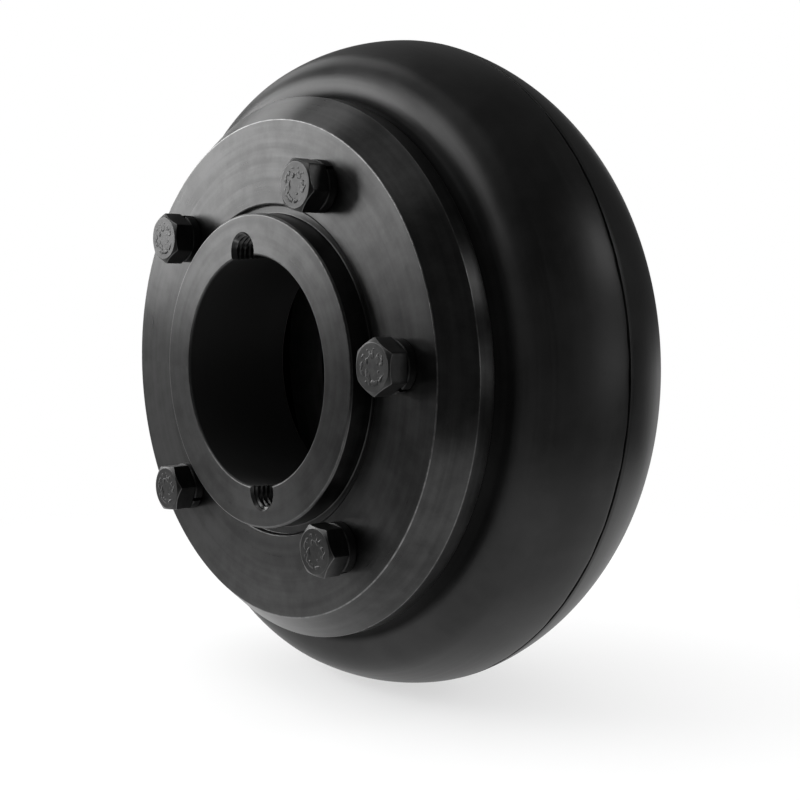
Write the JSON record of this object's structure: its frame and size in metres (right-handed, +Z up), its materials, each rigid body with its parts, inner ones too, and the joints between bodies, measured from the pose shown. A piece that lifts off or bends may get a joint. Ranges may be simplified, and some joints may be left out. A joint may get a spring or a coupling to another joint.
{
  "type": "tyre coupling",
  "caption": "Flexible shaft coupling: bored hub flanges on both sides of a moulded rubber tyre, held by inner clamp rings and hexagon screws.",
  "frame": {"origin": "middle of the tyre, on the coupling's axis", "axes": "+Y along the axis from the near flange to the far flange, +Z up, +X to the side"},
  "size_m": [0.235, 0.1244, 0.235],
  "materials": {
    "flange_steel": "black oxide, satin, turned",
    "ring_steel": "black oxide, satin, turned",
    "screw_steel": "black oxide, worn edges",
    "washer_steel": "black oxide",
    "rubber": "moulded, satin"
  },
  "bodies": {
    "near_half": {"near_flange": "flange_steel", "near_clamp_ring": "ring_steel", "near_clamp_screw_1": "screw_steel", "near_clamp_screw_2": "screw_steel", "near_clamp_screw_3": "screw_steel", "near_clamp_screw_4": "screw_steel", "near_clamp_screw_5": "screw_steel", "near_spring_washer_1": "washer_steel", "near_spring_washer_2": "washer_steel", "near_spring_washer_3": "washer_steel", "near_spring_washer_4": "washer_steel", "near_spring_washer_5": "washer_steel", "tyre": "rubber"},
    "far_half": {"far_flange": "flange_steel", "far_clamp_ring": "ring_steel", "far_clamp_screw_1": "screw_steel", "far_clamp_screw_2": "screw_steel", "far_clamp_screw_3": "screw_steel", "far_clamp_screw_4": "screw_steel", "far_clamp_screw_5": "screw_steel", "far_spring_washer_1": "washer_steel", "far_spring_washer_2": "washer_steel", "far_spring_washer_3": "washer_steel", "far_spring_washer_4": "washer_steel", "far_spring_washer_5": "washer_steel"}
  },
  "joints": [
    {"name": "torsional_wind_up", "type": "hinge", "parent": "near_half", "child": "far_half", "pos_m": [0, 0, 0], "axis": [0, 1, 0], "range_deg": [-12, 12], "stiffness_Nm_per_rad": 5214}
  ]
}
